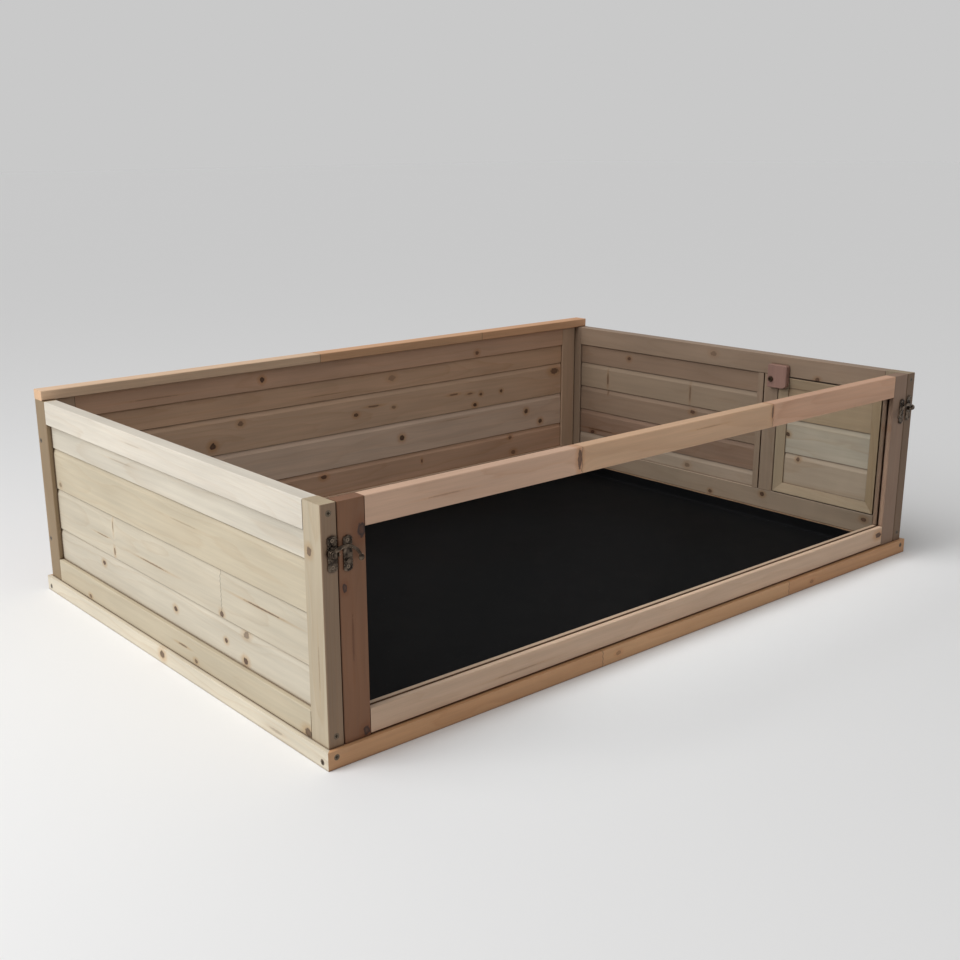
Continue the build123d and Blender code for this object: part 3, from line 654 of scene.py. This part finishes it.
def liner_cloth():
    """The dark coated cloth of the floor liner: soft, slightly uneven and a little dusty."""
    material, tree, shader, _ = new_material("liner_cloth")
    place = tree.node("ShaderNodeTexCoord").outputs["Object"]
    cloud = tree.noise(place, LINER_CLOUDS, detail=4.0)
    nap = tree.noise(place, LINER_NAP_SCALE, detail=3.0)
    dust = tree.remap(tree.noise(place, LINER_DUST_SCALE), *LINER_DUST_SPAN)
    dust = tree.maths("MULTIPLY", dust, LINER_DUST_SHARE)
    colour = tree.mix(tree.remap(cloud, *NOISE_SPAN), *(linear(tone) for tone in LINER_TONES))
    tree.put(shader.inputs["Base Color"], tree.mix(dust, colour, linear(LINER_DUST)))
    shader.inputs["Specular IOR Level"].default_value = LINER_SPECULAR
    tree.put(shader.inputs["Roughness"], tree.remap(cloud, *NOISE_SPAN, *LINER_ROUGHNESS))
    add_bump(tree, shader, nap, LINER_NAP_RELIEF, LINER_NAP_HEIGHT * MM)
    return material


def dress(node, material):
    """Gives a CAD node its material."""
    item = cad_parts[node]
    if not item.material_slots:
        item.data.materials.append(material)
    for slot in item.material_slots:
        slot.material = material


def new_piece(name, mesh, material, body, slot, *nodes):
    """A new piece that stands for CAD nodes and rides on a body."""
    piece = bpy.data.objects.new(name, mesh)
    bpy.context.scene.collection.objects.link(piece)
    mesh.materials.clear()
    mesh.materials.append(material)
    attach(piece, body)
    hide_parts(*nodes)
    return piece


def half_base(node):
    """The points and faces of a CAD node's left half, in mm, with shared points merged."""
    form = bmesh.new()
    form.from_mesh(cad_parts[node].data)
    right = [vertex for vertex in form.verts if vertex.co.x > 0]
    bmesh.ops.delete(form, geom=right, context="VERTS")
    bmesh.ops.scale(form, vec=(1 / MM,) * 3, verts=form.verts)
    bmesh.ops.remove_doubles(form, verts=form.verts, dist=MERGE_REACH)
    form.verts.index_update()
    points = [tuple(vertex.co) for vertex in form.verts]
    faces = [[vertex.index for vertex in face.verts] for face in form.faces]
    form.free()
    return points, faces


def unit_ball():
    """The points and faces of a ball of radius 1."""
    form = bmesh.new()
    around, upward = BALL_SEGMENTS
    bmesh.ops.create_uvsphere(form, u_segments=around, v_segments=upward, radius=1.0)
    form.verts.index_update()
    points = [tuple(vertex.co) for vertex in form.verts]
    faces = [[vertex.index for vertex in face.verts] for face in form.faces]
    form.free()
    return points, faces


def cast_mesh(name, blobs, base=None):
    """A left-hand cast skin round a base solid's left half and blobs of (centre, radii) in mm."""
    points, faces = half_base(base) if base else ([], [])
    ball_points, ball_faces = unit_ball()
    for centre, radii in blobs:
        first = len(points)
        points += [[c + p * r for c, p, r in zip(centre, point, radii)] for point in ball_points]
        faces += [[first + corner for corner in face] for face in ball_faces]
    mesh = bpy.data.meshes.new(name)
    mesh.from_pydata(points, [], faces)
    maker = bpy.data.objects.new(f"{name}_maker", mesh)
    bpy.context.scene.collection.objects.link(maker)
    skin = maker.modifiers.new("skin", "REMESH")
    skin.mode = "VOXEL"
    skin.voxel_size = LATCH_VOXEL
    skin.use_smooth_shade = True
    soften = maker.modifiers.new("soften", "SMOOTH")
    soften.factor, soften.iterations = LATCH_SOFTEN
    ready = maker.evaluated_get(bpy.context.evaluated_depsgraph_get())
    cast = bpy.data.meshes.new_from_object(ready)
    cast.name = name
    cast.transform(Matrix.Scale(MM, 4))
    bpy.data.objects.remove(maker)
    bpy.data.meshes.remove(mesh)
    return cast


def mirrored(name, mesh, keep):
    """The right-hand copy of a left-hand mesh, with the left-hand one kept beside it or not."""
    form = bmesh.new()
    form.from_mesh(mesh)
    twin = form.verts[:]
    if keep:
        copied = bmesh.ops.duplicate(form, geom=form.verts[:] + form.edges[:] + form.faces[:])
        twin = [item for item in copied["geom"] if isinstance(item, bmesh.types.BMVert)]
    faces = {face for vertex in twin for face in vertex.link_faces}
    for vertex in twin:
        vertex.co.x = -vertex.co.x
    bmesh.ops.reverse_faces(form, faces=list(faces))
    both = bpy.data.meshes.new(name)
    form.to_mesh(both)
    form.free()
    return both


def plate_relief(middle):
    """The cast ornament of one latch plate: beaded edges, leaf ends and curled shoulders."""
    across, level = middle
    blobs = []
    for side in (-1, 1):
        blobs += [((side * BEAD_ASIDE, step * BEAD_PITCH), BEAD_RADII) for step in BEAD_STEPS]
        blobs += [((side * u, end * v), radii) for end in (-1, 1) for u, v, radii in LEAVES]
    blobs += [((0.0, end * v), radii) for end in (-1, 1) for v, radii in KNOBS]
    return [((u - across, PLATE_FACE, level + v), radii) for (u, v), radii in blobs]


def arm_blobs():
    """The hooked arm of one latch: an eye round the pivot, a tapering horn and a knob."""
    pivot, tip = (Vector((-u, v)) for u, v in (ARM_PIVOT, ARM_TIP))
    chord = tip - pivot
    rise = math.sqrt(ARM_BEND**2 - (chord.length / 2) ** 2)
    away = Vector((chord.y, -chord.x)).normalized()
    centre = (pivot + tip) / 2 + away * rise
    start, end = (math.atan2(p.y - centre.y, p.x - centre.x) for p in (pivot, tip))
    blobs = []
    for step in range(ARM_STEPS):
        share = step / (ARM_STEPS - 1)
        angle = start + (end - start) * share
        spot = centre + ARM_BEND * Vector((math.cos(angle), math.sin(angle)))
        if (spot - pivot).length < ARM_EYE_RADIUS:
            continue
        width = ARM_HALF_WIDTHS[0] + ARM_HALF_WIDTHS[1] * (1 - share) ** 2
        depth = ARM_HALF_DEPTHS[0] + ARM_HALF_DEPTHS[1] * (1 - share)
        blobs.append((spot, (width, depth, width)))
    blobs.append((tip, ARM_KNOB))
    for step in range(ARM_EYE_STEPS):
        angle = 2 * math.pi * step / ARM_EYE_STEPS
        spot = pivot + ARM_EYE_RADIUS * Vector((math.cos(angle), math.sin(angle)))
        blobs.append((spot, (ARM_EYE_THICKNESS, ARM_HALF_DEPTH, ARM_EYE_THICKNESS)))
    return [((spot.x, ARM_LAYER, spot.y), radii) for spot, radii in blobs]


def liner_mesh():
    """The liner as a thin sheet: nearly flat, with wavy edges turned up and its corners cut."""
    grid = {}
    form = bmesh.new()
    halves = [flat / 2 / MM for flat in LINER_FLAT]

    def bent(flat, half, limit):
        """Where a place on the flat sheet goes: out along the floor, then up the ring."""
        start = half - LINER_EDGE
        past = abs(flat) - start
        if past <= 0:
            return flat, 0.0
        quarter = LINER_BEND * math.pi / 2
        angle = min(past, quarter) / LINER_BEND
        out = limit - LINER_BEND * (1 - math.sin(angle))
        up = LINER_BEND * (1 - math.cos(angle)) + max(past - quarter, 0.0)
        return math.copysign(out, flat), up

    def places(half, count):
        """Grid lines across the flat sheet, close together where it bends."""
        start = half - LINER_EDGE
        inner = [start * (2 * step / count - 1) for step in range(count + 1)]
        steps = range(1, LINER_EDGE_CELLS + 1)
        edge = [start + LINER_EDGE * step / LINER_EDGE_CELLS for step in steps]
        return [-value for value in reversed(edge)] + inner + edge

    def wave(x, y, scale, layer):
        """Smooth noise from -1 to 1 at a place on the floor."""
        return noise.noise(Vector((x * scale, y * scale, layer)))

    lines = [places(half, count) for half, count in zip(halves, LINER_CELLS)]
    for i, u in enumerate(lines[0]):
        for j, v in enumerate(lines[1]):
            past_u, past_v = (
                abs(w) > half - LINER_EDGE + LINER_SLACK for w, half in zip((u, v), halves)
            )
            if past_u and past_v:
                continue
            (x, rise_x), (y, rise_y) = (
                bent(w, half, limit) for w, half, limit in zip((u, v), halves, LINER_HALF)
            )
            rise = rise_x + rise_y
            height = LINER_FLOOR + rise
            if rise == 0:
                height += LINER_RIPPLE * (1 + wave(x, y, LINER_RIPPLE_SCALE, LINER_RIPPLE_LAYER))
            lean = LINER_WAVE * (rise / LINER_EDGE) ** 2
            sway = lean * (0.5 + 0.5 * wave(x, y, LINER_WAVE_SCALE, LINER_WAVE_LAYER))
            if past_u:
                x -= math.copysign(sway, x)
            if past_v:
                y -= math.copysign(sway, y)
            height -= LINER_WAVE_DROP * sway * (rise / LINER_EDGE)
            grid[i, j] = form.verts.new(Vector((x, y, height)) * MM)
    for i in range(len(lines[0]) - 1):
        for j in range(len(lines[1]) - 1):
            corners = [grid.get(key) for key in ((i, j), (i + 1, j), (i + 1, j + 1), (i, j + 1))]
            if all(corners):
                form.faces.new(corners).smooth = True
    mesh = bpy.data.meshes.new("liner_sheet")
    form.to_mesh(mesh)
    form.free()
    return mesh


def add_lamp(name, kind, energy, place, toward):
    """A lamp at a place that shines away from the direction it is turned toward."""
    lamp = bpy.data.lights.new(name, kind)
    lamp.energy = energy
    item = bpy.data.objects.new(name, lamp)
    item.location = place
    item.rotation_euler = Vector(toward).to_track_quat("Z", "Y").to_euler()
    item.visible_camera = False
    bpy.context.scene.collection.objects.link(item)
    return lamp


def add_lights():
    """The soft lamp on the left and the high soft sun."""
    back = Vector(LAMP_PLACE) - Vector(LAMP_AIM)
    add_lamp("key", "AREA", LAMP_ENERGY, LAMP_PLACE, back).size = LAMP_SIZE
    turn, lift = math.radians(SUN_HEADING), math.radians(SUN_HEIGHT)
    toward = (math.sin(turn) * math.cos(lift), -math.cos(turn) * math.cos(lift), math.sin(lift))
    add_lamp("high", "SUN", SUN_ENERGY, SUN_PLACE, toward).angle = math.radians(SUN_SPREAD)


def add_sky():
    """An even sky for light, and a pale backdrop where it is seen or mirrored."""
    world = bpy.data.worlds.new("sky")
    bpy.context.scene.world = world
    world.use_nodes = True
    world.node_tree.nodes.clear()
    tree = Tree(world.node_tree)
    light = tree.node("ShaderNodeBackground", {"Color": (1, 1, 1, 1), "Strength": SKY_STRENGTH})
    seen = tree.node("ShaderNodeBackground", {"Color": linear(BACKDROP_COLOUR), "Strength": 1.0})
    path = tree.node("ShaderNodeLightPath").outputs
    share = tree.maths("MAXIMUM", path["Is Camera Ray"], path["Is Transmission Ray"])
    share = tree.maths("MAXIMUM", share, path["Is Glossy Ray"])
    both = tree.node("ShaderNodeMixShader", {0: share, 1: light.outputs[0], 2: seen.outputs[0]})
    output = tree.node("ShaderNodeOutputWorld")
    tree.put(output.inputs["Surface"], both.outputs[0])


def add_floor():
    """A plain pale floor."""
    mesh = bpy.data.meshes.new("floor")
    corners = [(x * FLOOR_REACH, y * FLOOR_REACH, -FLOOR_DROP * MM)
               for x, y in ((-1, -1), (1, -1), (1, 1), (-1, 1))]
    mesh.from_pydata(corners, [], [(0, 1, 2, 3)])
    material, tree, shader, _ = new_material("floor_paint")
    place = tree.node("ShaderNodeTexCoord").outputs["Object"]
    shader.inputs["Base Color"].default_value = linear(FLOOR_COLOUR)
    clouds = tree.noise(place, FLOOR_CLOUDS)
    tree.put(shader.inputs["Roughness"], tree.remap(clouds, *NOISE_SPAN, *FLOOR_ROUGHNESS))
    mesh.materials.append(material)
    item = bpy.data.objects.new("floor", mesh)
    bpy.context.scene.collection.objects.link(item)


def add_camera():
    """The photograph's camera."""
    flat = math.cos(CAMERA_PITCH)
    east, north = math.sin(CAMERA_YAW), math.cos(CAMERA_YAW)
    look = Vector((east * flat, north * flat, -math.sin(CAMERA_PITCH)))
    level = Vector((north, -east, 0.0))
    upright = level.cross(look)
    right = math.cos(CAMERA_ROLL) * level + math.sin(CAMERA_ROLL) * upright
    up = math.cos(CAMERA_ROLL) * upright - math.sin(CAMERA_ROLL) * level
    camera = bpy.data.cameras.new("camera")
    camera.sensor_width = CAMERA_SENSOR
    camera.lens = CAMERA_LENS
    camera.shift_x, camera.shift_y = CAMERA_SHIFT
    item = bpy.data.objects.new("camera", camera)
    turn = Matrix((right, up, -look)).transposed().to_4x4()
    item.matrix_world = Matrix.Translation(CAMERA_PLACE) @ turn
    bpy.context.scene.collection.objects.link(item)
    bpy.context.scene.camera = item


bpy.context.scene.view_settings.view_transform = "Standard"
add_camera()
add_lights()
add_sky()
add_floor()

# Materials of the CAD nodes
bronze, painted_highlight_bronze, brass, steel = (metal(name, *METALS[name]) for name in METALS)
liner_finish = liner_cloth()
clear_finish = clear_sheet()
wood_groups = (ring_group(), knot_group())
FINISHES = (
    ("small_screws_wall", bronze),
    ("small_screws_front", bronze),
    ("screw", steel),
    ("hinge", brass),
    ("latch", bronze),
    ("clear_panel", clear_finish),
    ("floor_liner", liner_finish),
)
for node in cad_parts:
    finish = next((made for word, made in FINISHES if word in node), None)
    dress(node, finish or pine(node, wood_groups))

# Latches
for node, middle, body in (
    ("latch_plates", PLATE_MIDDLE, "cage"),
    ("latch_strikes", STRIKE_MIDDLE, "clear_front"),
):
    one = cast_mesh(f"{node}_left", plate_relief(middle), node)
    new_piece(f"{node}_cast", mirrored(f"{node}_cast", one, True), bronze, body, "bronze", node)
left_arm = cast_mesh("left_latch_arm_cast", arm_blobs())
right_arm = mirrored("right_latch_arm_cast", left_arm, False)
# The arms take the lighter bronze copy, a painted highlight
for node, arm in (("left_latch_arm", left_arm), ("right_latch_arm", right_arm)):
    new_piece(f"{node}_cast", arm, painted_highlight_bronze, node, "bronze", node)

# Floor liner
liner = new_piece("liner_sheet", liner_mesh(), liner_finish, "cage", "liner", "floor_liner")
thick = liner.modifiers.new("thick", "SOLIDIFY")
thick.thickness = LINER_THICKNESS * MM
thick.offset = 0.0
